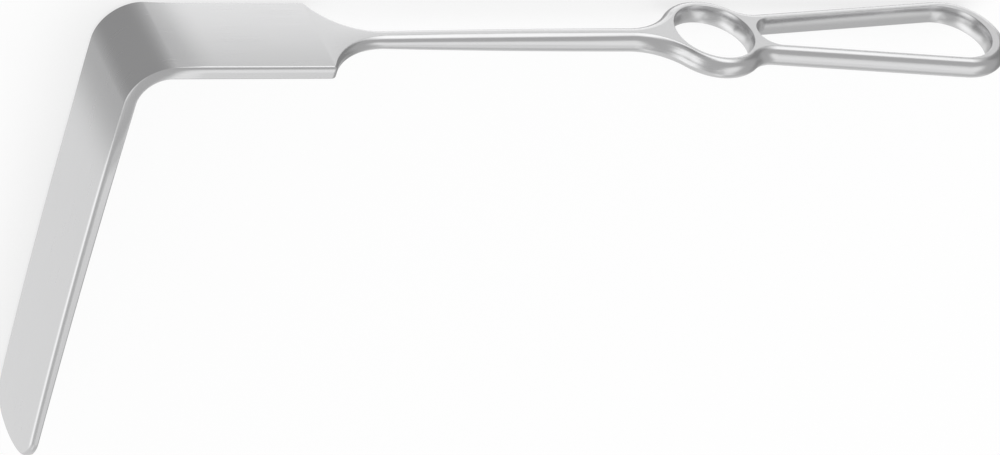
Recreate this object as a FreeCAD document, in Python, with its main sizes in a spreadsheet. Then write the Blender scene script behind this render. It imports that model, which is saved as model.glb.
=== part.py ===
import FreeCAD, Part
import math
import os
import Sketcher

# A handheld surgical retractor, forged in one piece: blade, bend, plate, neck, shaft, finger ring, loop.
# It lies on its side, as it comes to rest on a table: +X runs along the shaft towards the loop,
# the blade points to -Y and +Z is the instrument's width. It is drawn about the finger ring's centre,
# and the body's placement then brings the middle of its footprint to the origin.
# Lengths are millimetres and angles degrees.

SIZES = {
    # finger ring
    "ring_hole_radius": 11.4,
    "ring_outer_radius": 14.7,
    "ring_flare_radius": 18.0,
    "handle_thickness": 6.0,
    # loop behind the ring: a slot that widens towards its end, and the bar round it
    "web_width": 2.1,
    "slot_length": 72.4,
    "slot_small_radius": 5.9,
    "slot_large_radius": 11.5,
    "arm_width": 3.3,
    "loop_end_width": 4.7,
    "web_blend_radius": 9.0,
    # shaft, nearly round and slightly tapered
    "shaft_radius_at_ring": 3.0,
    "shaft_radius_at_neck": 2.35,
    "neck_end_distance": 98.0,
    # shoulders, where the shaft spreads into the plate
    "neck_hollow_radius": 20.0,
    "shoulder_radius": 1.5,
    "neck_taper_overrun": 2.0,
    # plate and bend
    "plate_width": 28.2,
    "plate_thickness": 3.8,
    "bend_outer_radius": 12.0,
    "bend_inner_radius": 8.2,
    # blade
    "blade_setback": 173.6,
    "blade_depth": 136.0,
    "blade_curve_radius": 2400.0,
    "blade_root_thickness": 3.5,
    "blade_tip_thickness": 2.2,
    "tip_corner_radius": 9.0,
    "tip_crown_radius": 26.0,
    # forging and finishing: both openings have a barrel-shaped wall, rounded where the dies part
    "opening_wall_slope": 14.0,
    "parting_round": 8.0,
    "ring_face_land": 0.55,
    "plate_edge_round": 1.05,
    "round_land": 0.15,
    # stock beyond the finished outline, which the outlines cut away
    "stock_margin": 6.0,
}


def size(name):
    return SIZES[name]


def polar(centre, radius, angle):
    turn = math.radians(angle)
    return centre[0] + radius * math.cos(turn), centre[1] + radius * math.sin(turn)


def heading(start, end):
    return math.degrees(math.atan2(end[1] - start[1], end[0] - start[0]))


# Derived sizes, added to the same sheet. A station is a place along X, from the finger ring's centre.

half_thickness = size("handle_thickness") / 2
half_plate = size("plate_thickness") / 2
half_width = size("plate_width") / 2
slot_start = size("ring_hole_radius") + size("web_width")
slot_small_station = slot_start + size("slot_small_radius")
slot_large_station = slot_start + size("slot_length") - size("slot_large_radius")
loop_end_station = slot_start + size("slot_length") + size("loop_end_width")
loop_end_radius = size("slot_large_radius") + size("arm_width")
loop_centre_station = loop_end_station - loop_end_radius
wall_inset = half_thickness * math.tan(math.radians(size("opening_wall_slope")))
stock_end_station = loop_end_station + size("stock_margin")
stock_depth = size("blade_depth") + size("stock_margin")
stock_half_width = max(half_width, size("ring_outer_radius"), loop_end_radius) + size("stock_margin")


def arc_beside_ring(point, angle, blend, side):
    """Centre and foot of the hollow arc, of radius blend, between a side line and the ring's outside.

    The line runs through point at angle. side is -1 on the shaft's side of the ring, +1 on the loop's.
    """
    turn = math.radians(angle)
    along = (math.cos(turn), math.sin(turn))
    normal = (-math.sin(turn), math.cos(turn))
    lifted = (point[0] + normal[0] * blend, point[1] + normal[1] * blend)
    middle = lifted[0] * along[0] + lifted[1] * along[1]
    excess = lifted[0] ** 2 + lifted[1] ** 2 - (blend + size("ring_outer_radius")) ** 2
    step = side * math.sqrt(middle ** 2 - excess) - middle
    centre = (lifted[0] + step * along[0], lifted[1] + step * along[1])
    foot = (centre[0] - normal[0] * blend, centre[1] - normal[1] * blend)
    return centre, foot


def shaft_side():
    """The shaft's side line, from the neck's end to the foot of the flare into the ring.

    The line's slope and the flare's foot depend on each other, so they are found together.
    """
    neck = (-size("neck_end_distance"), size("shaft_radius_at_neck"))
    foot_station = -size("ring_outer_radius") - size("ring_flare_radius") / 2
    for _ in range(60):
        angle = heading(neck, (foot_station, size("shaft_radius_at_ring")))
        centre, foot = arc_beside_ring(neck, angle, size("ring_flare_radius"), -1)
        foot_station = foot[0]
    return neck, angle, centre, foot


def arm_side():
    """The outer side line of the loop's arm, from the web's hollow to the round end."""
    start_radius = size("slot_small_radius") + size("arm_width")
    spread = loop_centre_station - slot_small_station
    angle = math.degrees(math.asin((loop_end_radius - start_radius) / spread))
    end = polar((loop_centre_station, 0), loop_end_radius, 90 + angle)
    centre, foot = arc_beside_ring(end, angle, size("web_blend_radius"), 1)
    return angle, centre, foot, end


neck_point, shaft_angle, flare_centre, flare_foot = shaft_side()
arm_angle, web_centre, web_foot, arm_end = arm_side()
hollow_centre = polar(neck_point, size("neck_hollow_radius"), 90 + shaft_angle)
corner_level = half_width - size("shoulder_radius")
corner_reach = size("neck_hollow_radius") + size("shoulder_radius")
corner_centre = (hollow_centre[0] - math.sqrt(corner_reach ** 2 - (corner_level - hollow_centre[1]) ** 2),
                 corner_level)
shoulder_angle = heading(corner_centre, hollow_centre)
shoulder_point = polar(corner_centre, size("shoulder_radius"), shoulder_angle)

# The handle thickens from the plate to the ring in two long arcs that meet just past the neck.
taper_station = neck_point[0] + size("neck_taper_overrun")
taper_rise = half_thickness - half_plate
taper_slope = 2 * math.degrees(math.atan(taper_rise / (flare_foot[0] - shoulder_point[0])))
hollow_radius = (taper_station - shoulder_point[0]) / math.sin(math.radians(taper_slope))
crown_radius = (flare_foot[0] - taper_station) / math.sin(math.radians(taper_slope))

DERIVED = {
    "half_thickness": half_thickness,
    "half_plate": half_plate,
    "half_width": half_width,
    "shoulder_distance": -shoulder_point[0],
    "taper_distance": -taper_station,
    "flare_distance": -flare_foot[0],
    "hole_middle_radius": size("ring_hole_radius") - wall_inset,
    "slot_small_middle_radius": size("slot_small_radius") - wall_inset,
    "slot_large_middle_radius": size("slot_large_radius") - wall_inset,
    "slot_small_station": slot_small_station,
    "slot_large_station": slot_large_station,
    "web_foot_station": web_foot[0],
    "loop_end_station": loop_end_station,
    "loop_end_radius": loop_end_radius,
    "stock_end_station": stock_end_station,
    "stock_front_distance": size("blade_setback") + size("stock_margin"),
    "stock_depth": stock_depth,
    "stock_half_width": stock_half_width,
    "stock_width": 2 * stock_half_width,
    "footprint_middle_x": (size("blade_setback") - loop_end_station) / 2,
    "footprint_middle_y": (size("blade_depth") - half_thickness) / 2,
    "rest_height": max(half_width, size("ring_outer_radius"), loop_end_radius),
}

VALUES = {**SIZES, **DERIVED}

doc = FreeCAD.newDocument("retractor")


def make_sheet():
    """One row for each size: its name, and its value under the same alias."""
    sheet = doc.addObject("Spreadsheet::Sheet", "sizes")
    for row, (name, value) in enumerate(VALUES.items(), start=1):
        sheet.set(f"A{row}", name)
        sheet.set(f"B{row}", repr(value))
        sheet.setAlias(f"B{row}", name)


class Outline:
    """A chain of lines and arcs in one sketch, joined end to end as they are drawn."""

    ORIGIN = (-1, 1)
    LEVEL_AXIS = -1

    def __init__(self, sketch):
        self.sketch = sketch
        self.first = None
        self.last = None

    def constrain(self, *description):
        return self.sketch.addConstraint(Sketcher.Constraint(*description))

    def join(self, one, other, smooth):
        self.constrain("Tangent" if smooth else "Coincident", *one, *other)

    def add(self, curve, start, end, smooth):
        index = self.sketch.addGeometry(curve)
        if self.last:
            self.join(self.last, (index, start), smooth)
        else:
            self.first = (index, start)
        self.last = (index, end)
        return index

    def line(self, start, end, smooth=False):
        return self.add(Part.LineSegment(FreeCAD.Vector(*start), FreeCAD.Vector(*end)), 1, 2, smooth)

    def arc(self, centre, radius, start, end, smooth=True):
        """From angle start to angle end: clockwise where end is the smaller."""
        circle = Part.Circle(FreeCAD.Vector(*centre), FreeCAD.Vector(0, 0, 1), radius)
        low, high = sorted((math.radians(start), math.radians(end)))
        forward = end > start
        return self.add(Part.ArcOfCircle(circle, low, high), 1 if forward else 2, 2 if forward else 1,
                        smooth)

    def close(self, smooth=False):
        self.join(self.last, self.first, smooth)

    def bind(self, kind, *where, to):
        """A dimension that takes its value from the sheet's cell named to."""
        index = self.constrain(kind, *where, VALUES[to])
        self.sketch.setExpression(f"Constraints[{index}]", f"sizes.{to}")

    def right(self, point, to):
        self.bind("DistanceX", *self.ORIGIN, *point, to=to)

    def left(self, point, to):
        self.bind("DistanceX", *point, *self.ORIGIN, to=to)

    def up(self, point, to):
        self.bind("DistanceY", *self.ORIGIN, *point, to=to)

    def down(self, point, to):
        self.bind("DistanceY", *point, *self.ORIGIN, to=to)

    def level(self, *lines):
        for line in lines:
            self.constrain("Horizontal", line)

    def upright(self, *lines):
        for line in lines:
            self.constrain("Vertical", line)

    def on_axis(self, *points):
        for point in points:
            self.constrain("PointOnObject", *point, self.LEVEL_AXIS)


def new_sketch(body, name, role):
    """An empty sketch on one of the body's own origin planes."""
    sketch = body.newObject("Sketcher::SketchObject", name)
    plane = next(item for item in body.Origin.OriginFeatures if item.Role == role)
    sketch.AttachmentSupport = [(plane, "")]
    sketch.MapMode = "FlatFace"
    return sketch


def draw_side_profile(sketch):
    """The instrument from its side: level handle, thinner plate, bend and slightly curved blade."""
    draw = Outline(sketch)
    shoulder, flare = shoulder_point[0], flare_foot[0]

    # both faces of the blade curve gently inwards, and they close on each other towards the tip
    curve = size("blade_curve_radius")
    outer_face = -size("blade_setback")
    outer_root = half_plate - size("bend_outer_radius")
    outer_angle = math.degrees(math.asin((outer_root + stock_depth) / curve))
    outer_end = outer_face + curve * (1 - math.cos(math.radians(outer_angle)))
    inner_face = outer_face + size("blade_root_thickness")
    inner_root = -half_plate - size("bend_inner_radius")
    inner_end = outer_end + size("blade_tip_thickness")
    inner_drop, inner_bow = inner_root + stock_depth, inner_end - inner_face
    inner_curve = (inner_drop ** 2 + inner_bow ** 2) / (2 * inner_bow)
    inner_angle = math.degrees(math.asin(inner_drop / inner_curve))

    bend_start = outer_face + size("bend_outer_radius")
    bend_end = inner_face + size("bend_inner_radius")
    top = draw.line((stock_end_station, half_thickness), (flare, half_thickness))
    draw.arc((flare, half_thickness - crown_radius), crown_radius, 90, 90 + taper_slope)
    hollow_top = draw.arc((shoulder, half_plate + hollow_radius), hollow_radius, taper_slope - 90, -90)
    plate_top = draw.line((shoulder, half_plate), (bend_start, half_plate), smooth=True)
    bend_out = draw.arc((bend_start, outer_root), size("bend_outer_radius"), 90, 180)
    face_out = draw.arc((outer_face + curve, outer_root), curve, 180, 180 + outer_angle)
    tip = draw.line((outer_end, -stock_depth), (inner_end, -stock_depth))
    face_in = draw.arc((inner_face + inner_curve, inner_root), inner_curve, 180 + inner_angle, 180,
                       smooth=False)
    bend_in = draw.arc((bend_end, inner_root), size("bend_inner_radius"), 180, 90)
    plate_low = draw.line((bend_end, -half_plate), (shoulder, -half_plate), smooth=True)
    hollow_low = draw.arc((shoulder, -half_plate - hollow_radius), hollow_radius, 90, 90 - taper_slope)
    draw.arc((flare, crown_radius - half_thickness), crown_radius, -90 - taper_slope, -90)
    low = draw.line((flare, -half_thickness), (stock_end_station, -half_thickness), smooth=True)
    back = draw.line((stock_end_station, -half_thickness), (stock_end_station, half_thickness))
    draw.close()

    draw.level(top, plate_top, tip, plate_low, low)
    draw.upright(back)
    draw.up((top, 1), to="half_thickness")
    draw.down((low, 1), to="half_thickness")
    draw.up((plate_top, 1), to="half_plate")
    draw.down((plate_low, 1), to="half_plate")
    draw.down((tip, 1), to="stock_depth")
    draw.right((back, 1), to="stock_end_station")
    for flare_end in ((top, 2), (low, 1)):
        draw.left(flare_end, to="flare_distance")
    for junction in ((hollow_top, 2), (hollow_low, 1)):
        draw.left(junction, to="taper_distance")
    for shoulder_end in ((plate_top, 1), (plate_low, 2)):
        draw.left(shoulder_end, to="shoulder_distance")
    draw.left((face_out, 1), to="blade_setback")
    draw.bind("Radius", bend_out, to="bend_outer_radius")
    draw.bind("Radius", bend_in, to="bend_inner_radius")
    draw.bind("Radius", face_out, to="blade_curve_radius")
    draw.bind("DistanceX", bend_out, 2, bend_in, 2, to="blade_root_thickness")
    draw.bind("DistanceX", tip, 1, tip, 2, to="blade_tip_thickness")
    draw.constrain("Horizontal", face_out, 3, face_out, 1)
    draw.constrain("Horizontal", face_in, 3, face_in, 1)


def draw_outline_waste(sketch):
    """What is cut off beside the instrument's outline, on its +Z side, from the plate to the loop."""
    draw = Outline(sketch)
    ring_centre = (0, 0)
    front = -VALUES["stock_front_distance"]
    edge = draw.line((front, half_width), (corner_centre[0], half_width))
    corner = draw.arc(corner_centre, size("shoulder_radius"), 90, shoulder_angle)
    hollow = draw.arc(hollow_centre, size("neck_hollow_radius"), 180 + shoulder_angle, 270 + shaft_angle)
    shaft = draw.line(neck_point, flare_foot, smooth=True)
    flare = draw.arc(flare_centre, size("ring_flare_radius"), 270 + shaft_angle,
                     360 + heading(flare_centre, ring_centre))
    ring = draw.arc(ring_centre, size("ring_outer_radius"), heading(ring_centre, flare_centre),
                    heading(ring_centre, web_centre))
    web = draw.arc(web_centre, size("web_blend_radius"), 360 + heading(web_centre, ring_centre),
                   270 + arm_angle)
    draw.line(web_foot, arm_end, smooth=True)
    end = draw.arc((loop_centre_station, 0), loop_end_radius, 90 + arm_angle, 0)
    axis = draw.line((loop_end_station, 0), (stock_end_station, 0))
    back = draw.line((stock_end_station, 0), (stock_end_station, stock_half_width))
    side = draw.line((stock_end_station, stock_half_width), (front, stock_half_width))
    start = draw.line((front, stock_half_width), (front, half_width))
    draw.close()

    draw.level(edge, axis, side)
    draw.upright(back, start)
    draw.up((edge, 1), to="half_width")
    draw.left((start, 1), to="stock_front_distance")
    draw.right((back, 1), to="stock_end_station")
    draw.up((side, 1), to="stock_half_width")
    draw.bind("Radius", corner, to="shoulder_radius")
    draw.bind("Radius", hollow, to="neck_hollow_radius")
    draw.left((shaft, 1), to="neck_end_distance")
    draw.up((shaft, 1), to="shaft_radius_at_neck")
    draw.up((shaft, 2), to="shaft_radius_at_ring")
    draw.bind("Radius", flare, to="ring_flare_radius")
    draw.bind("Radius", ring, to="ring_outer_radius")
    draw.constrain("Coincident", ring, 3, *draw.ORIGIN)
    draw.bind("Radius", web, to="web_blend_radius")
    draw.right((web, 2), to="web_foot_station")
    draw.bind("Radius", end, to="loop_end_radius")
    draw.on_axis((end, 3), (axis, 1))
    draw.right((axis, 1), to="loop_end_station")


def draw_tip_waste(sketch):
    """What is cut off round the blade's tip, on its +Z side: here X is the depth and Y the width."""
    draw = Outline(sketch)
    crown, corner = size("tip_crown_radius"), size("tip_corner_radius")
    crown_centre = (crown - size("blade_depth"), 0)
    centre_level = half_width - corner
    corner_place = (crown_centre[0] - math.sqrt((crown - corner) ** 2 - centre_level ** 2), centre_level)
    meeting = heading(crown_centre, corner_place)
    corner_arc = draw.arc(corner_place, corner, 90, meeting)
    crown_arc = draw.arc(crown_centre, crown, meeting, 180)
    axis = draw.line((-size("blade_depth"), 0), (-stock_depth, 0))
    far = draw.line((-stock_depth, 0), (-stock_depth, stock_half_width))
    side = draw.line((-stock_depth, stock_half_width), (corner_place[0], stock_half_width))
    start = draw.line((corner_place[0], stock_half_width), (corner_place[0], half_width))
    draw.close()

    draw.level(axis, side)
    draw.upright(far, start)
    draw.bind("Radius", corner_arc, to="tip_corner_radius")
    draw.bind("Radius", crown_arc, to="tip_crown_radius")
    draw.up((corner_arc, 1), to="half_width")
    draw.constrain("Vertical", corner_arc, 3, corner_arc, 1)
    draw.on_axis((crown_arc, 3), (axis, 1))
    draw.left((axis, 1), to="blade_depth")
    draw.left((far, 1), to="stock_depth")
    draw.up((side, 1), to="stock_half_width")


def draw_hole(sketch):
    """The finger hole at the middle plane, where its sloped wall stands closest."""
    draw = Outline(sketch)
    hole = sketch.addGeometry(Part.Circle(FreeCAD.Vector(), FreeCAD.Vector(0, 0, 1),
                                          VALUES["hole_middle_radius"]))
    draw.constrain("Coincident", hole, 3, *draw.ORIGIN)
    draw.bind("Radius", hole, to="hole_middle_radius")


def draw_slot(sketch):
    """The loop's slot at the middle plane: two round ends and the lines that touch both."""
    draw = Outline(sketch)
    small, large = VALUES["slot_small_middle_radius"], VALUES["slot_large_middle_radius"]
    small_centre, large_centre = (slot_small_station, 0), (slot_large_station, 0)
    spread = math.degrees(math.asin((large - small) / (slot_large_station - slot_small_station)))
    upper, lower = 90 + spread, -90 - spread
    draw.line(polar(small_centre, small, lower), polar(large_centre, large, lower))
    wide_end = draw.arc(large_centre, large, lower, upper)
    draw.line(polar(large_centre, large, upper), polar(small_centre, small, upper), smooth=True)
    narrow_end = draw.arc(small_centre, small, upper, lower + 360)
    draw.close(smooth=True)

    draw.bind("Radius", wide_end, to="slot_large_middle_radius")
    draw.bind("Radius", narrow_end, to="slot_small_middle_radius")
    draw.on_axis((wide_end, 3), (narrow_end, 3))
    draw.right((wide_end, 3), to="slot_large_station")
    draw.right((narrow_end, 3), to="slot_small_station")


def cut_through(body, name, sketch):
    """A pocket through all of the stock, both ways from the sketch."""
    pocket = body.newObject("PartDesign::Pocket", name)
    pocket.Profile = sketch
    pocket.SideType = "Symmetric"
    pocket.Type = "ThroughAll"
    return pocket


def cut_opening(body, name, sketch, taper):
    """A pocket from the middle plane out through both faces, widening with the wall slope."""
    pocket = body.newObject("PartDesign::Pocket", name)
    pocket.Profile = sketch
    pocket.SideType = "Two sides"
    for length, angle in (("Length", "TaperAngle"), ("Length2", "TaperAngle2")):
        pocket.setExpression(length, "sizes.handle_thickness")
        pocket.setExpression(angle, taper)
    doc.recompute()


def is_opening_edge(edge, height):
    """Whether an edge lies round the finger hole or the slot, at this distance from the middle plane."""
    box = edge.BoundBox
    if abs(box.YMin - height) > 0.01 or abs(box.YMax - height) > 0.01:
        return False
    middle = edge.valueAt((edge.FirstParameter + edge.LastParameter) / 2)
    clear = 0.1
    in_hole = math.hypot(middle.x, middle.z) < size("ring_hole_radius") + clear
    if in_hole:
        return True
    share = (middle.x - slot_small_station) / (slot_large_station - slot_small_station)
    share = max(0.0, min(1.0, share))
    station = slot_small_station + share * (slot_large_station - slot_small_station)
    radius = size("slot_small_radius") + share * (size("slot_large_radius") - size("slot_small_radius"))
    return math.hypot(middle.x - station, middle.z) < radius + clear


def opening_edges(shape, *heights):
    """Numbers of the edges of the hole and the slot that lie at these heights."""
    return [number for number, edge in enumerate(shape.Edges, start=1)
            if any(is_opening_edge(edge, height) for height in heights)]


def make_forging():
    """The whole instrument with its openings, before the outside is rounded."""
    body = doc.addObject("PartDesign::Body", "forging")
    profile = new_sketch(body, "side_profile", "XY_Plane")
    draw_side_profile(profile)
    stock = body.newObject("PartDesign::Pad", "stock")
    stock.Profile = profile
    stock.SideType = "Symmetric"
    stock.setExpression("Length", "sizes.stock_width")
    doc.recompute()

    outline = new_sketch(body, "outline_waste", "XZ_Plane")
    draw_outline_waste(outline)
    beside = cut_through(body, "cut_outline", outline)
    doc.recompute()
    tip = new_sketch(body, "tip_waste", "YZ_Plane")
    draw_tip_waste(tip)
    round_tip = cut_through(body, "cut_tip", tip)
    doc.recompute()

    other_side = body.newObject("PartDesign::Mirrored", "other_side")
    other_side.Originals = [beside, round_tip]
    plane = next(item for item in body.Origin.OriginFeatures if item.Role == "XY_Plane")
    other_side.MirrorPlane = (plane, [""])
    body.Tip = other_side
    doc.recompute()

    # a lone circle counts its taper the other way round from a chain of edges
    hole = new_sketch(body, "hole", "XZ_Plane")
    draw_hole(hole)
    cut_opening(body, "cut_hole", hole, "-sizes.opening_wall_slope")
    slot = new_sketch(body, "slot", "XZ_Plane")
    draw_slot(slot)
    cut_opening(body, "cut_slot", slot, "sizes.opening_wall_slope")

    opened = body.Tip
    walls = body.newObject("PartDesign::Fillet", "round_walls")
    walls.Base = (opened, [f"Edge{number}" for number in opening_edges(opened.Shape, 0)])
    walls.setExpression("Radius", "sizes.parting_round")
    doc.recompute()
    return body


def round_at(station):
    """Radius of the outside's edge round: fine on blade and plate, nearly full from neck to loop."""
    depth = neck_point[0] - shoulder_point[0]
    neck_half_thickness = half_plate + hollow_radius - math.sqrt(hollow_radius ** 2 - depth ** 2)
    bar_width = min(size("ring_outer_radius") - size("ring_hole_radius"), size("arm_width"))
    land = size("round_land")
    plate = size("plate_edge_round")
    ring = min(half_thickness - land, bar_width - size("ring_face_land"))
    neck = min(neck_half_thickness - land, size("shaft_radius_at_neck") - land, ring)
    if station <= neck_point[0]:
        share = max(0.0, (station - shoulder_point[0]) / depth)
        return plate + (neck - plate) * share
    share = min(1.0, (station - neck_point[0]) / (flare_foot[0] - neck_point[0]))
    return neck + (ring - neck) * share


def is_flat_across(face):
    """Whether a face comes from the side profile: it then has no slope along the width."""
    low_u, high_u, low_v, high_v = face.ParameterRange
    shares = (0.1, 0.5, 0.9)
    slopes = [abs(face.normalAt(low_u + a * (high_u - low_u), low_v + b * (high_v - low_v)).z)
              for a in shares for b in shares]
    return max(slopes) < 1e-4


def outside_edges(shape):
    """Every edge between a face of the side profile and a wall of the outline, by its number."""
    flat = [is_flat_across(face) for face in shape.Faces]
    found = {}
    for number, edge in enumerate(shape.Edges, start=1):
        beside = sorted(flat[k] for k, face in enumerate(shape.Faces)
                        if any(edge.isSame(other) for other in face.Edges))
        if beside == [False, True] and not is_opening_edge(edge, half_thickness) \
                and not is_opening_edge(edge, -half_thickness):
            ends = [edge.valueAt(edge.FirstParameter), edge.valueAt(edge.LastParameter)]
            found[number] = ends[::-1] if edge.Orientation == "Reversed" else ends
    return found


def in_chains(waiting):
    """The same edges end to end, each with the stations where it starts and ends along its chain."""
    ordered = []
    while waiting:
        number = min(waiting)
        start, end = waiting.pop(number)
        ordered.append((number, start.x, end.x))
        tail = end
        following = True
        while following:
            following = False
            for number, ends in list(waiting.items()):
                near = [end.distanceToPoint(tail) < 1e-4 for end in ends]
                if any(near):
                    start, end = ends if near[0] else ends[::-1]
                    waiting.pop(number)
                    ordered.append((number, start.x, end.x))
                    tail = end
                    following = True
                    break
    return ordered


def round_outside(body):
    """The finished instrument, its outside rounded more and more from plate to ring, on its origin."""
    finished = doc.addObject("Part::Fillet", "retractor")
    finished.Label = "retractor"
    finished.Base = body
    finished.Edges = [(number, round_at(start), round_at(end))
                      for number, start, end in in_chains(outside_edges(body.Shape))]
    for axis, cell in (("x", "footprint_middle_x"), ("y", "footprint_middle_y"), ("z", "rest_height")):
        finished.setExpression(f"Placement.Base.{axis}", f"sizes.{cell}")
    doc.recompute()
    return finished


make_sheet()
doc.recompute()
forging = make_forging()
retractor = round_outside(forging)

for item in doc.Objects:
    if "Invalid" in item.State or "Error" in item.State:
        raise RuntimeError(f"{item.Name} did not build: {item.State}")
for item in (forging, retractor):
    if item.Shape.isNull() or not item.Shape.isValid():
        raise RuntimeError(f"{item.Name} has no valid shape")
os.makedirs("parts", exist_ok=True)
retractor.Shape.exportStep("parts/retractor.step")
box = retractor.Shape.BoundBox
print("retractor", round(retractor.Shape.Volume, 1), "mm3, box", box)
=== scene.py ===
import math
import bmesh
import bpy
import numpy as np
from mathutils import Matrix, Vector


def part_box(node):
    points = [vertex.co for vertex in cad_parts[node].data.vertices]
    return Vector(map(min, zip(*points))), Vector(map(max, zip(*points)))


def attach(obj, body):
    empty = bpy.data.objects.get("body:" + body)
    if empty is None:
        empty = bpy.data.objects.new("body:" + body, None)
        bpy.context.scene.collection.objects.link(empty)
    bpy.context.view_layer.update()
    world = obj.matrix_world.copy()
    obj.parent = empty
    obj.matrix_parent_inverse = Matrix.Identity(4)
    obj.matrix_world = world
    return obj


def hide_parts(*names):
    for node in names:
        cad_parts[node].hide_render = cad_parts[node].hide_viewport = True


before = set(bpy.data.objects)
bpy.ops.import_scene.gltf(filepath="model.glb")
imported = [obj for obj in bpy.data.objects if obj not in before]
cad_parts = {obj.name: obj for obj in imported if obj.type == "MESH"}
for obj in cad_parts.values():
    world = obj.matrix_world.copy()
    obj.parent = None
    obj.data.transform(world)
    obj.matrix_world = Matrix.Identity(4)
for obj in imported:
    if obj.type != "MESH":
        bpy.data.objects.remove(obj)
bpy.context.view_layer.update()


# Forged blank: the instrument before it is bent, one piece of stainless steel forged between two dies. Its
# outside is rounded over, little on the plate and almost fully on the handle, and both openings have walls
# like a barrel's. Stations run along it from the ring's centre, and the blade is on the minus side.

mm = 0.001

# finger ring, and the hollows that lead into it from the shaft and from the loop
ring_hole, ring_outside = 11.4 * mm, 14.7 * mm
flare_blend, web_blend = 18.0 * mm, 9.0 * mm

# loop, whose slot widens towards its round end
ring_to_slot, slot_length = 2.1 * mm, 72.4 * mm
slot_start = ring_hole + ring_to_slot
slot_end = slot_start + slot_length
slot_small, slot_large = 5.9 * mm, 11.5 * mm
slot_small_at, slot_large_at = slot_start + slot_small, slot_end - slot_large
arm_width, loop_end_width = 3.3 * mm, 4.7 * mm
loop_radius = slot_large + arm_width
loop_end = slot_end + loop_end_width
loop_at = loop_end - loop_radius

# shaft, hollow neck and plate
shaft_at_neck, shaft_at_ring = 2.35 * mm, 3.0 * mm
neck_end, taper_change = -98.0 * mm, -96.0 * mm
neck_hollow, shoulder_corner = 20.0 * mm, 1.5 * mm
plate_half_width = 14.1 * mm

# bend and blade
bend_start, bend_radius = -161.75 * mm, 10.1 * mm
bend_length = bend_radius * math.pi / 2
bend_end = bend_start - bend_length
blade_reach, blade_curve = 125.9 * mm, 2923.6 * mm
blade_end = bend_end - blade_curve * math.asin(blade_reach / blade_curve)
tip_crown, tip_corner = 26.0 * mm, 9.0 * mm

# half the thickness
plate_half, handle_half = 1.9 * mm, 3.0 * mm
blade_half_at_bend, blade_half_at_tip = 1.75 * mm, 1.159 * mm

# rounds: blade and plate have an ellipse towards the face and a small round towards the back, and from neck
# to loop both become one larger round
face_round_depth, tip_round_height, plate_round_height = 0.9 * mm, 1.25 * mm, 1.6 * mm
back_round, neck_round, ring_round = 0.5 * mm, 1.946 * mm, 2.75 * mm
rim_round, wall_barrel, wall_slope = 0.25 * mm, 8.0 * mm, math.radians(14.0)

# the bend draws the section: where this starts and ends, how much it sharpens the edge and leans the sides
drawn_from, drawn_fully_from = -153.0 * mm, -165.0 * mm
drawn_to, drawn_fully_to = -208.0 * mm, -178.0 * mm
drawn_sharpening, drawn_lean_fade = 0.7, 0.45
bend_lean, bend_lean_back = math.radians(27.0), math.radians(17.0)

# grinding: crown of the broad faces in degrees, the handle's flatter shoulders, and the openings' walls
blade_crown, plate_crown, right_angle = 1.5, 3.0, 90.0
shoulder_flat = math.radians(11.0)
wall_lean_face, wall_lean_back = math.radians(24.0), math.radians(-14.0)

# spacing of the mesh's points
arc_step = math.radians(3.0)
long_step, bend_step, shaft_step, loop_step = 4.0 * mm, 0.4 * mm, 2.5 * mm, 3.0 * mm
quarter_steps, rim_points, barrel_points = 10, 5, 13


def polar(centre, radius, angle):
    return (centre[0] + radius * math.cos(angle), centre[1] + radius * math.sin(angle))


def heading(start, end):
    return math.atan2(end[1] - start[1], end[0] - start[0])


def share_between(value, start, end):
    """How far the value is on the way from start to end, from 0 to 1."""
    return min(1.0, max(0.0, (value - start) / (end - start)))


def ramp(value, start, end):
    """The same with a soft start and a soft end."""
    share = share_between(value, start, end)
    return share * share * (3.0 - 2.0 * share)


def hollow_beside_ring(point, angle, radius, side):
    """The hollow arc that leads from a straight side of the bar into the ring: its centre and its foot."""
    along = (math.cos(angle), math.sin(angle))
    normal = (-along[1], along[0])
    lifted = (point[0] + normal[0] * radius, point[1] + normal[1] * radius)
    middle = lifted[0] * along[0] + lifted[1] * along[1]
    spare = lifted[0] ** 2 + lifted[1] ** 2 - (radius + ring_outside) ** 2
    step = side * math.sqrt(middle ** 2 - spare) - middle
    centre = (lifted[0] + step * along[0], lifted[1] + step * along[1])
    return centre, (centre[0] - normal[0] * radius, centre[1] - normal[1] * radius)


def arc(centre, radius, start, end):
    """Points along an arc with their outward normals, which point to the centre where it turns left."""
    sweep = end - start
    count = max(2, math.ceil(abs(sweep) / arc_step))
    sign = -1.0 if sweep > 0 else 1.0
    angles = [start + sweep * k / count for k in range(count + 1)]
    return [(polar(centre, radius, angle), (sign * math.cos(angle), sign * math.sin(angle)))
            for angle in angles]


def straight(start, end, step):
    """Points between two corners, without the corners, and the normal on the left of the way."""
    length = math.dist(start, end)
    count = max(1, round(length / step))
    normal = (-(end[1] - start[1]) / length, (end[0] - start[0]) / length)
    return [((start[0] + (end[0] - start[0]) * k / count, start[1] + (end[1] - start[1]) * k / count), normal)
            for k in range(1, count)]


# the shaft's slope and the foot of the flare depend on each other and settle together
ring_centre, loop_centre = (0.0, 0.0), (loop_at, 0.0)
neck_foot = (neck_end, shaft_at_neck)
flare_at = -ring_outside - flare_blend / 2
settling_rounds = 40
for _ in range(settling_rounds):
    shaft_slope = heading(neck_foot, (flare_at, shaft_at_ring))
    flare_centre, flare_foot = hollow_beside_ring(neck_foot, shaft_slope, flare_blend, -1)
    flare_at = flare_foot[0]

# the loop's arms touch its round end, and the web's hollow touches arm and ring
arm_slope = math.asin((loop_radius - slot_small - arm_width) / (loop_at - slot_small_at))
arm_end = polar(loop_centre, loop_radius, math.pi / 2 + arm_slope)
web_centre, web_foot = hollow_beside_ring(arm_end, arm_slope, web_blend, 1)

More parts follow.
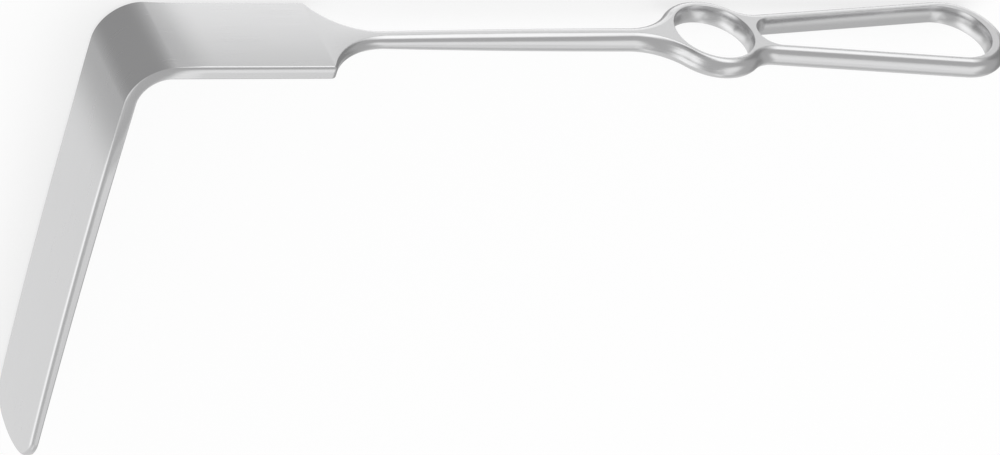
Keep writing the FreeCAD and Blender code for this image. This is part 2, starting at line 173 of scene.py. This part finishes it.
# neck and shoulder of the plate
hollow_centre = polar(neck_foot, neck_hollow, math.pi / 2 + shaft_slope)
corner_level = plate_half_width - shoulder_corner
corner_back = math.sqrt((neck_hollow + shoulder_corner) ** 2 - (corner_level - hollow_centre[1]) ** 2)
corner_centre = (hollow_centre[0] - corner_back, corner_level)
shoulder_turn = heading(corner_centre, hollow_centre)
shoulder_at = polar(corner_centre, shoulder_corner, shoulder_turn)[0]

# thickness taper from plate to handle: two arcs that touch where the taper changes
taper_turn = 2 * math.atan((handle_half - plate_half) / (flare_at - shoulder_at))
taper_hollow = (taper_change - shoulder_at) / math.sin(taper_turn)
taper_crown = (flare_at - taper_change) / math.sin(taper_turn)

# round-nosed tip
crown_centre = (blade_end + tip_crown, 0.0)
tip_level = plate_half_width - tip_corner
tip_centre = (crown_centre[0] - math.sqrt((tip_crown - tip_corner) ** 2 - tip_level ** 2), tip_level)
tip_turn = heading(crown_centre, tip_centre)


def half_thickness(station):
    """Half the thickness there: thin at the blade's tip, level on the plate, thickest from the ring on."""
    if station >= flare_at:
        return handle_half
    if station >= taper_change:
        return handle_half - taper_crown + math.sqrt(taper_crown ** 2 - (flare_at - station) ** 2)
    if station >= shoulder_at:
        return plate_half + taper_hollow - math.sqrt(taper_hollow ** 2 - (station - shoulder_at) ** 2)
    if station >= bend_start:
        return plate_half
    if station >= bend_end:
        turn = (bend_start - station) / bend_radius
        return plate_half - (plate_half - blade_half_at_bend) * math.sin(turn)
    share = (bend_end - station) / (bend_end - blade_end)
    return blade_half_at_bend - (blade_half_at_bend - blade_half_at_tip) * share ** 2


def thickening(station):
    """How much the half thickness grows for each metre along the blank."""
    reach = 0.05 * mm
    return (half_thickness(station + reach) - half_thickness(station - reach)) / (2 * reach)


def in_bend(station):
    """1 where the bend has drawn the section fully, 0 away from it."""
    return ramp(station, drawn_from, drawn_fully_from) * ramp(station, drawn_to, drawn_fully_to)


def edge_round(station, face_side):
    """Depth and height of the outside's round: slight on blade and plate, nearly full from neck to loop."""
    if station > neck_end:
        radius = neck_round + (ring_round - neck_round) * share_between(station, neck_end, flare_at)
        return radius, radius
    if face_side < 0:
        depth = height = back_round
    else:
        depth, height = face_round_depth * (1.0 - drawn_sharpening * in_bend(station)), plate_round_height
        if station < bend_end:
            height = (tip_round_height + (plate_round_height - tip_round_height)
                      * (station - blade_end) / (bend_end - blade_end))
    share = share_between(station, shoulder_at, neck_end)
    return depth + (neck_round - depth) * share, height + (neck_round - height) * share


def outside_shine(station, lean, face_side):
    """The lean with which the outside mirrors light, where its round has the lean given."""
    crown = blade_crown + (plate_crown - blade_crown) * share_between(station, bend_end, bend_start)
    shine = lean * (1.0 - crown / right_angle * share_between(station, neck_end, shoulder_at))
    if face_side < 0:
        return shine + in_bend(station) * bend_lean_back * math.cos(lean)
    shine += in_bend(station) * bend_lean * (math.cos(lean) ** 2 - drawn_lean_fade * math.sin(2 * lean))
    return shine - shoulder_flat * share_between(station, neck_end, flare_at) ** 3 * math.sin(2 * lean)


# outline of the face, from the tip along one side to the loop's end, and back as its mirror image; a hollow's
# foot lies straight below its centre
foot = 3 * math.pi / 2
outline = arc(crown_centre, tip_crown, math.pi, tip_turn)
outline += arc(tip_centre, tip_corner, tip_turn, math.pi / 2)[1:]
for start, end, step in ((tip_centre[0], bend_end, long_step), (bend_end, bend_start, bend_step),
                         (bend_start, corner_centre[0], long_step)):
    outline += straight((start, plate_half_width), (end, plate_half_width), step)
    outline.append(((end, plate_half_width), (0.0, 1.0)))
outline += arc(corner_centre, shoulder_corner, math.pi / 2, shoulder_turn)[1:]
outline += arc(hollow_centre, neck_hollow, math.pi + shoulder_turn, foot + shaft_slope)[1:]
outline += straight(neck_foot, flare_foot, shaft_step)
flare_column = len(outline)
outline += arc(flare_centre, flare_blend, foot + shaft_slope,
               2 * math.pi + heading(flare_centre, ring_centre))
outline += arc(ring_centre, ring_outside, heading(ring_centre, flare_centre),
               heading(ring_centre, web_centre))[1:]
outline += arc(web_centre, web_blend, 2 * math.pi + heading(web_centre, ring_centre), foot + arm_slope)[1:]
outline += straight(web_foot, arm_end, loop_step)
outline += arc(loop_centre, loop_radius, math.pi / 2 + arm_slope, 0.0)
outline += [((s, -z), (along, -across)) for (s, z), (along, across) in outline[-2:0:-1]]

# outlines of both openings
slot_slope = math.asin((slot_large - slot_small) / (slot_large_at - slot_small_at))
upper, lower = math.pi / 2 + slot_slope, -math.pi / 2 - slot_slope
small_centre, large_centre = (slot_small_at, 0.0), (slot_large_at, 0.0)
finger_hole = arc(ring_centre, ring_hole, 0.0, 2 * math.pi)[:-1]
loop_slot = arc(large_centre, slot_large, lower, upper)
loop_slot += straight(polar(large_centre, slot_large, upper), polar(small_centre, slot_small, upper),
                      loop_step)
loop_slot += arc(small_centre, slot_small, upper, lower + 2 * math.pi)
loop_slot += straight(polar(small_centre, slot_small, lower), polar(large_centre, slot_large, lower),
                      loop_step)

places, normals, satin_places, faces = [], [], [], []


def add_point(place, normal, satin_place):
    places.append(place)
    normals.append(Vector(normal).normalized())
    satin_places.append(satin_place)
    return len(places) - 1


def outside_column(place, normal):
    """The rounded side of the blank at one point of its outline, from its lower face to its upper face."""
    side = 1.0 if place[1] >= 0 else -1.0
    column = []
    for face_side in (-1.0, 1.0):
        round_in, round_up = edge_round(place[0], face_side)
        for k in range(quarter_steps + 1):
            lean = math.pi / 2 * (k / quarter_steps if face_side > 0 else k / quarter_steps - 1)
            climb = math.atan2(round_up * math.sin(lean), round_in * math.cos(lean))
            inset = round_in * (1 - math.cos(climb))
            station, across = place[0] - normal[0] * inset, place[1] - normal[1] * inset
            half = half_thickness(station)
            height = face_side * (half - round_up) + round_up * math.sin(climb)
            shine = outside_shine(place[0], lean, face_side)
            fore = math.cos(shine) * normal[0] - abs(math.sin(shine)) * thickening(station)
            column.append(add_point((station, height, across),
                                    (fore, math.sin(shine), math.cos(shine) * normal[1]),
                                    (station, across + side * (half - height))))
    return column


outside = [outside_column(place, normal) for place, normal in outline]
for one, other in zip(outside, outside[1:] + outside[:1]):
    for j in range(len(one) - 1):
        faces.append((one[j], other[j], other[j + 1], one[j + 1]))

# broad faces of blade, plate and shaft: strips from edge to edge
for i in range(flare_column):
    for end, order in ((-1, 1), (0, -1)):
        strip = [outside[i][end], outside[i + 1][end], outside[-i - 1][end], outside[-i][end]]
        faces.append(tuple(dict.fromkeys(strip))[::order])

# wall of an opening, from its upper rim to its lower one: a fine round, a slope, and the barrel in the middle
rim_middle = (rim_round * (math.sin(wall_slope) - 1) / math.cos(wall_slope), handle_half - rim_round)
slope_in = (handle_half - wall_barrel * math.sin(wall_slope)) * math.tan(wall_slope)
barrel_middle = (slope_in - wall_barrel * math.cos(wall_slope), 0.0)
wall = [(polar(rim_middle, rim_round, lean), lean)
        for lean in np.linspace(math.pi / 2, wall_slope, rim_points)]
wall += [(polar(barrel_middle, wall_barrel, lean), lean)
         for lean in np.linspace(wall_slope, -wall_slope, barrel_points)]
wall += [((into, -height), -lean) for (into, height), lean in wall[rim_points - 1::-1]]


def wall_shine(height, lean):
    """The lean with which the wall mirrors light: it turns evenly from face to back, and over on the rims."""
    share = (handle_half - height) / (2 * handle_half)
    even = wall_lean_face + (wall_lean_back - wall_lean_face) * share
    over = share_between(abs(lean), wall_slope, math.pi / 2)
    return even + (math.copysign(math.pi / 2, lean) - even) * over


def wall_column(place, normal):
    """The wall at one point of an opening."""
    column = []
    for (into, height), lean in wall:
        shine = wall_shine(height, lean)
        column.append(add_point((place[0] + normal[0] * into, height, place[1] + normal[1] * into),
                                (normal[0] * math.cos(shine), math.sin(shine), normal[1] * math.cos(shine)),
                                (place[0], place[1] + handle_half - height)))
    return column


rims = []
for opening in (finger_hole, loop_slot):
    columns = [wall_column(place, normal) for place, normal in opening]
    for one, other in zip(columns, columns[1:] + columns[:1]):
        for j in range(len(one) - 1):
            faces.append((one[j], one[j + 1], other[j + 1], other[j]))
    rims.append(columns)

# broad faces of ring and loop, filled between the outline and the openings, and copied to the back
border = outside[flare_column:len(outside) - flare_column + 1]
sheet = bmesh.new()
seats, opposite = {}, {}
for columns, top, low in ((border, -1, 0), (rims[0], 0, -1), (rims[1], 0, -1)):
    edge = [sheet.verts.new(places[column[top]]) for column in columns]
    for vert, column in zip(edge, columns):
        seats[vert] = column[top]
        opposite[column[top]] = column[low]
    for one, other in zip(edge, edge[1:] + edge[:1]):
        sheet.edges.new((one, other))
bmesh.ops.triangle_fill(sheet, use_beauty=True, use_dissolve=False, edges=sheet.edges[:],
                        normal=(0.0, 1.0, 0.0))
for face in sheet.faces:
    corners = [seats[vert] for vert in face.verts]
    face.normal_update()
    if face.normal.y < 0:
        corners.reverse()
    faces.append(tuple(corners))
    faces.append(tuple(opposite[corner] for corner in reversed(corners)))
sheet.free()

blank_mesh = bpy.data.meshes.new("blank")
blank_mesh.from_pydata(places, [], faces)
blank_mesh.validate()
blank_mesh.polygons.foreach_set("use_smooth", [True] * len(blank_mesh.polygons))
stored = blank_mesh.attributes.new("surface_normal", "FLOAT_VECTOR", "POINT")
stored.data.foreach_set("vector", [value for normal in normals for value in normal])
satin_map = blank_mesh.uv_layers.new(name="satin_map")
for loop in blank_mesh.loops:
    satin_map.data[loop.index].uv = satin_places[loop.vertex_index]


# Retractor: the finished instrument, one piece of stainless steel. The blank is bent a quarter turn round a
# former, its blade keeps a slight curve, and then it is ground and given a satin finish along its length.

# degrees by which the shine eases into the bend and out of it, and over what length of plate and blade
ease_in, ease_out = 7.5, 12.0
ease_in_length, ease_out_length = 15.0 * mm, 30.0 * mm

bending = bpy.data.node_groups.new("bend_round_former", "GeometryNodeTree")
bending.interface.new_socket("Blank", in_out="INPUT", socket_type="NodeSocketGeometry")
for name in ("Bend start", "Bend radius", "Blade curve radius"):
    bending.interface.new_socket(name, in_out="INPUT", socket_type="NodeSocketFloat")
bending.interface.new_socket("Place", in_out="INPUT", socket_type="NodeSocketVector")
bending.interface.new_socket("Steel", in_out="INPUT", socket_type="NodeSocketMaterial")
bending.interface.new_socket("Retractor", in_out="OUTPUT", socket_type="NodeSocketGeometry")
given = bending.nodes.new("NodeGroupInput").outputs


def feed(tree, socket, value):
    """Links a socket to another one, or sets it to a number."""
    if isinstance(value, bpy.types.NodeSocket):
        tree.links.new(value, socket)
    else:
        socket.default_value = value


def calculate(tree, operation, *values):
    """One sum in a node tree."""
    node = tree.nodes.new("ShaderNodeMath")
    node.operation = operation
    for socket, value in zip(node.inputs, values):
        feed(tree, socket, value)
    return node.outputs[0]


def figure(operation, *values):
    """One sum in the bending tree."""
    return calculate(bending, operation, *values)


def turned(vector, angle):
    """The vector turned about the line across the blank."""
    node = bending.nodes.new("ShaderNodeVectorRotate")
    node.rotation_type = "Z_AXIS"
    feed(bending, node.inputs["Vector"], vector)
    feed(bending, node.inputs["Angle"], angle)
    return node.outputs[0]


def vector_of(*values):
    node = bending.nodes.new("ShaderNodeCombineXYZ")
    for socket, value in zip(node.inputs, values):
        feed(bending, socket, value)
    return node.outputs[0]


def total(first, second):
    """The sum of two vectors."""
    node = bending.nodes.new("ShaderNodeVectorMath")
    node.operation = "ADD"
    feed(bending, node.inputs[0], first)
    feed(bending, node.inputs[1], second)
    return node.outputs[0]


# how far each point is past the bend's start, and by how much bend and blade have turned there
where = bending.nodes.new("ShaderNodeSeparateXYZ")
bending.links.new(bending.nodes.new("GeometryNodeInputPosition").outputs[0], where.inputs[0])
station, height, across = where.outputs
past_bend = figure("SUBTRACT", given["Bend start"], station)
past = figure("MAXIMUM", past_bend, 0.0)
bend_turn = figure("MINIMUM", figure("DIVIDE", past, given["Bend radius"]), math.pi / 2)
down_blade = figure("SUBTRACT", past, figure("MULTIPLY", bend_turn, given["Bend radius"]))
blade_turn = figure("DIVIDE", down_blade, given["Blade curve radius"])
turn = figure("ADD", bend_turn, blade_turn)

# the middle line goes level to the bend, round it and down the blade, and the thickness stands square on it
fore = figure("SUBTRACT", figure("MAXIMUM", station, given["Bend start"]),
              figure("MULTIPLY", given["Bend radius"], figure("SINE", bend_turn)))
fore = figure("ADD", fore, figure("MULTIPLY", given["Blade curve radius"],
                                  figure("SUBTRACT", 1.0, figure("COSINE", blade_turn))))
rise = figure("MULTIPLY", given["Bend radius"], figure("SUBTRACT", figure("COSINE", bend_turn), 1.0))
rise = figure("SUBTRACT", rise, figure("MULTIPLY", given["Blade curve radius"], figure("SINE", blade_turn)))
line = vector_of(fore, rise, across)
bent = total(total(line, turned(vector_of(0.0, height, 0.0), turn)), given["Place"])


def eased(first, last, degrees):
    """A turn that grows softly between two lengths past the bend's start."""
    node = bending.nodes.new("ShaderNodeMapRange")
    node.interpolation_type = "SMOOTHSTEP"
    bending.links.new(past_bend, node.inputs["Value"])
    node.inputs["From Min"].default_value = first
    node.inputs["From Max"].default_value = last
    node.inputs["To Max"].default_value = math.radians(degrees)
    return node.outputs["Result"]


# the steel's surface eases into the bend on the plate's side and out of it along the blade
shine_turn = figure("MULTIPLY", bend_turn, 1.0 - (ease_in + ease_out) / right_angle)
shine_turn = figure("ADD", shine_turn, eased(-ease_in_length, 0.0, ease_in))
shine_turn = figure("ADD", shine_turn, eased(bend_length, bend_length + ease_out_length, ease_out))
shine_turn = figure("ADD", shine_turn, blade_turn)

kept = bending.nodes.new("GeometryNodeInputNamedAttribute")
kept.data_type = "FLOAT_VECTOR"
kept.inputs["Name"].default_value = "surface_normal"
store = bending.nodes.new("GeometryNodeStoreNamedAttribute")
store.data_type = "FLOAT_VECTOR"
store.domain = "POINT"
store.inputs["Name"].default_value = "surface_normal"
bending.links.new(given["Blank"], store.inputs["Geometry"])
bending.links.new(turned(kept.outputs["Attribute"], shine_turn), store.inputs["Value"])
move = bending.nodes.new("GeometryNodeSetPosition")
bending.links.new(store.outputs["Geometry"], move.inputs["Geometry"])
bending.links.new(bent, move.inputs["Position"])
realize = bending.nodes.new("GeometryNodeRealizeInstances")
bending.links.new(move.outputs["Geometry"], realize.inputs["Geometry"])
finish = bending.nodes.new("GeometryNodeSetMaterial")
bending.links.new(realize.outputs["Geometry"], finish.inputs["Geometry"])
bending.links.new(given["Steel"], finish.inputs["Material"])
ready = bending.nodes.new("NodeGroupOutput")
bending.links.new(finish.outputs["Geometry"], ready.inputs["Retractor"])

# satin steel: fine grinding lines along the instrument, that vary its roughness and stand up by a hair
steel_grey = (0.70, 0.70, 0.705, 1.0)
lines_to_the_metre = (60.0, 2200.0, 1.0)
line_detail, line_low, line_high = 3.0, 0.25, 0.75
roughness_low, roughness_high = 0.22, 0.28
line_depth = 0.002 * mm
steel = bpy.data.materials.new("satin_stainless_steel")
steel.use_nodes = True
shader = steel.node_tree.nodes["Principled BSDF"]
shader.inputs["Metallic"].default_value = 1.0
shader.inputs["Base Color"].default_value = steel_grey
satin = steel.node_tree.nodes.new("ShaderNodeUVMap")
satin.uv_map = "satin_map"
stretched = steel.node_tree.nodes.new("ShaderNodeMapping")
stretched.inputs["Scale"].default_value = lines_to_the_metre
lines = steel.node_tree.nodes.new("ShaderNodeTexNoise")
lines.inputs["Scale"].default_value = 1.0
lines.inputs["Detail"].default_value = line_detail
gloss = steel.node_tree.nodes.new("ShaderNodeMapRange")
gloss.inputs["From Min"].default_value = line_low
gloss.inputs["From Max"].default_value = line_high
gloss.inputs["To Min"].default_value = roughness_low
gloss.inputs["To Max"].default_value = roughness_high
grooves = steel.node_tree.nodes.new("ShaderNodeBump")
grooves.inputs["Distance"].default_value = line_depth
for start, end in ((satin.outputs[0], stretched.inputs[0]), (stretched.outputs[0], lines.inputs["Vector"]),
                   (lines.outputs[0], gloss.inputs["Value"]), (gloss.outputs[0], shader.inputs["Roughness"]),
                   (lines.outputs[0], grooves.inputs["Height"]),
                   (grooves.outputs[0], shader.inputs["Normal"])):
    steel.node_tree.links.new(start, end)

# the blank goes round the former, and its loop's end to the end of the CAD solid
low, high = (Vector(corner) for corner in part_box("retractor"))
blank = bpy.data.objects.new("blank", blank_mesh)
bpy.context.scene.collection.objects.link(blank)
former = blank.modifiers.new("bend_round_former", "NODES")
former.node_group = bending
asked = {
    "Bend start": bend_start,
    "Bend radius": bend_radius,
    "Blade curve radius": blade_curve,
    "Place": (high.x - loop_end, high.y - handle_half, (low.z + high.z) / 2),
    "Steel": steel,
}
for item in bending.interface.items_tree:
    if item.in_out == "INPUT" and item.name in asked:
        former[item.identifier] = asked[item.name]

evaluated = blank.evaluated_get(bpy.context.evaluated_depsgraph_get())
finished = bpy.data.meshes.new_from_object(evaluated, preserve_all_data_layers=True,
                                           depsgraph=bpy.context.evaluated_depsgraph_get())
bpy.data.objects.remove(blank)
bpy.data.meshes.remove(blank_mesh)
smooth = np.zeros(3 * len(finished.vertices))
finished.attributes["surface_normal"].data.foreach_get("vector", smooth)
finished.attributes.remove(finished.attributes["surface_normal"])
finished.normals_split_custom_set_from_vertices([Vector(normal) for normal in smooth.reshape(-1, 3)])
retractor = bpy.data.objects.new("retractor_forging", finished)
bpy.context.scene.collection.objects.link(retractor)
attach(retractor, "root")
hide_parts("retractor")


# Studio: a plain white floor and a soft overhead lamp. Round the instrument stand the panels, strip lamps and
# dark cloths that the steel mirrors: a strip lamp behind the ring, one before the blade, a soft box above the
# bend. They are painted on the world, where only the steel sees them.

white = (1.0, 1.0, 1.0, 1.0)
floor_grey, floor_glow, floor_reach = (0.9, 0.9, 0.9, 1.0), 0.75, 3.0
daylight, dim_room = 0.5, 0.53
lamp_width, lamp_length, lamp_watts, lamp_place = 1.8, 1.4, 20.0, (0.3, -0.2, 1.6)

# bearing from +X and half width, elevation and half height, soft edge, all in degrees, and brightness; each
# lies over those before it
panels = {
    "front_wall": (-88, 42, -5, 49, 8, 0.78),
    "right_cloth": (8, 44, 6, 34, 10, 0.50),
    "right_low_cloth": (6, 42, -18, 22, 8, 0.30),
    "front_cloth": (-58, 14, 22, 12, 6, 0.58),
    "overhead_front": (-25, 41, 60, 16, 6, 1.07),
    "soft_box_above_bend": (164, 31, 30, 15, 8, 1.22),
    "soft_box_end": (-178, 20, 43, 10, 5, 1.3),
    "narrow_box_before": (-78, 7, 33, 11, 4, 1.1),
    "narrow_box_above": (-85, 8, 63, 5, 4, 1.1),
    "left_low_cloth": (146, 56, -17, 23, 6, 0.34),
    "cloth_under_bend": (140, 50, -54, 14, 20, 0.33),
    "ring_strip": (70, 13, -5, 27, 5, 1.5),
    "blade_strip": (-138, 12, 2, 40, 7, 1.2),
    "blade_strip_middle": (-139, 10, 18, 16, 9, 1.4),
    "floor_panel_right": (18, 46, -66, 24, 8, 1.18),
    "floor_panel_left": (-112, 22, -48, 12, 12, 0.94),
}


def mixed(tree, share, first, second):
    """The first shader or number, given over to the second by a share from 0 to 1."""
    if isinstance(first, (int, float)) or first.type != "SHADER":
        node = tree.nodes.new("ShaderNodeMix")
        ports = [node.inputs[0], node.inputs[2], node.inputs[3]]
    else:
        node = tree.nodes.new("ShaderNodeMixShader")
        ports = list(node.inputs)
    for port, value in zip(ports, (share, first, second)):
        feed(tree, port, value)
    return node.outputs[0]


def plain_light(tree, strength):
    """The world's light, white and of one strength, or as bright as a socket says."""
    node = tree.nodes.new("ShaderNodeBackground")
    node.inputs["Color"].default_value = white
    feed(tree, node.inputs["Strength"], strength)
    return node.outputs[0]


def any_ray(tree, first, *others):
    """1 for a ray of one of these kinds, and 0 for the rest."""
    path = tree.nodes.new("ShaderNodeLightPath").outputs
    answer = path[first]
    for kind in others:
        answer = calculate(tree, "MAXIMUM", answer, path[kind])
    return answer


# the floor: white to the lens, in metal and through glass, and only pale to what lights the instrument
floor_paint = bpy.data.materials.new("white_floor")
floor_paint.use_nodes = True
tree = floor_paint.node_tree
tree.nodes.clear()
lit = tree.nodes.new("ShaderNodeBsdfDiffuse")
lit.inputs["Color"].default_value = floor_grey
glow = tree.nodes.new("ShaderNodeEmission")
glow.inputs["Color"].default_value = white
seen = any_ray(tree, "Is Camera Ray", "Is Glossy Ray", "Is Transmission Ray")
shown = mixed(tree, calculate(tree, "MULTIPLY", seen, floor_glow), lit.outputs[0], glow.outputs[0])
tree.links.new(shown, tree.nodes.new("ShaderNodeOutputMaterial").inputs["Surface"])

floor_corners = [(floor_reach * x, floor_reach * y, 0.0) for x, y in ((-1, -1), (1, -1), (1, 1), (-1, 1))]
floor_mesh = bpy.data.meshes.new("floor")
floor_mesh.from_pydata(floor_corners, [], [(0, 1, 2, 3)])
floor_mesh.materials.append(floor_paint)
floor = bpy.data.objects.new("floor", floor_mesh)
floor.visible_glossy = False
bpy.context.scene.collection.objects.link(floor)

# the world: white to the lens, even daylight on the instrument, and the panels in what the steel mirrors
world = bpy.data.worlds.new("studio")
world.use_nodes = True
bpy.context.scene.world = world
tree = world.node_tree
tree.nodes.clear()
direction = tree.nodes.new("ShaderNodeTexCoord").outputs["Generated"]
split = tree.nodes.new("ShaderNodeSeparateXYZ")
tree.links.new(direction, split.inputs[0])
elevation = calculate(tree, "ARCSINE", split.outputs["Z"])
mirrored = dim_room
for bearing, half_width, middle, half_height, soft, brightness in panels.values():
    aside = tree.nodes.new("ShaderNodeVectorRotate")
    aside.rotation_type = "Z_AXIS"
    feed(tree, aside.inputs["Vector"], direction)
    aside.inputs["Angle"].default_value = math.radians(-bearing)
    across = tree.nodes.new("ShaderNodeSeparateXYZ")
    tree.links.new(aside.outputs[0], across.inputs[0])
    sideways = calculate(tree, "ARCTAN2", across.outputs["Y"], across.outputs["X"])
    upwards = calculate(tree, "SUBTRACT", elevation, math.radians(middle))
    inside = 1.0
    for offset, half in ((sideways, half_width), (upwards, half_height)):
        fade = tree.nodes.new("ShaderNodeMapRange")
        fade.interpolation_type = "SMOOTHSTEP"
        tree.links.new(calculate(tree, "ABSOLUTE", offset), fade.inputs["Value"])
        fade.inputs["From Min"].default_value = math.radians(half - soft)
        fade.inputs["From Max"].default_value = math.radians(half + soft)
        fade.inputs["To Min"].default_value = 1.0
        fade.inputs["To Max"].default_value = 0.0
        inside = calculate(tree, "MULTIPLY", inside, fade.outputs["Result"])
    mirrored = mixed(tree, inside, mirrored, brightness)
around = mixed(tree, any_ray(tree, "Is Glossy Ray"), plain_light(tree, daylight), plain_light(tree, mirrored))
around = mixed(tree, any_ray(tree, "Is Camera Ray", "Is Transmission Ray"), around, plain_light(tree, 1.0))
tree.links.new(around, tree.nodes.new("ShaderNodeOutputWorld").inputs["Surface"])

lamp_data = bpy.data.lights.new("overhead", "AREA")
lamp_data.shape = "RECTANGLE"
lamp_data.size, lamp_data.size_y = lamp_width, lamp_length
lamp_data.energy = lamp_watts
lamp = bpy.data.objects.new("overhead", lamp_data)
bpy.context.scene.collection.objects.link(lamp)
lamp.location = lamp_place
lamp.rotation_euler = lamp.location.to_track_quat("Z", "Y").to_euler()
lamp.visible_glossy = False


# Camera: a long lens, 1.65 m from the middle of the picture and looking down at 43 degrees. Its place and its
# direction follow from the ellipse that the ring's opening makes in the photograph.

eye = Vector((-0.7292, 0.9459, 1.1354))
view_right = Vector((0.89572, 0.27389, 0.35024))
view_up = Vector((0.01456, 0.76924, -0.63879))
view_back = Vector((-0.44438, 0.57728, 0.68504))

camera_data = bpy.data.cameras.new("camera")
camera_data.sensor_width = 36.0
camera_data.lens = 216.0
camera_data.clip_end = 20.0
camera = bpy.data.objects.new("camera", camera_data)
bpy.context.scene.collection.objects.link(camera)
camera.matrix_world = (Matrix.Translation(eye)
                       @ Matrix((view_right, view_up, view_back)).transposed().to_4x4())
bpy.context.scene.camera = camera
bpy.context.scene.view_settings.view_transform = "Standard"
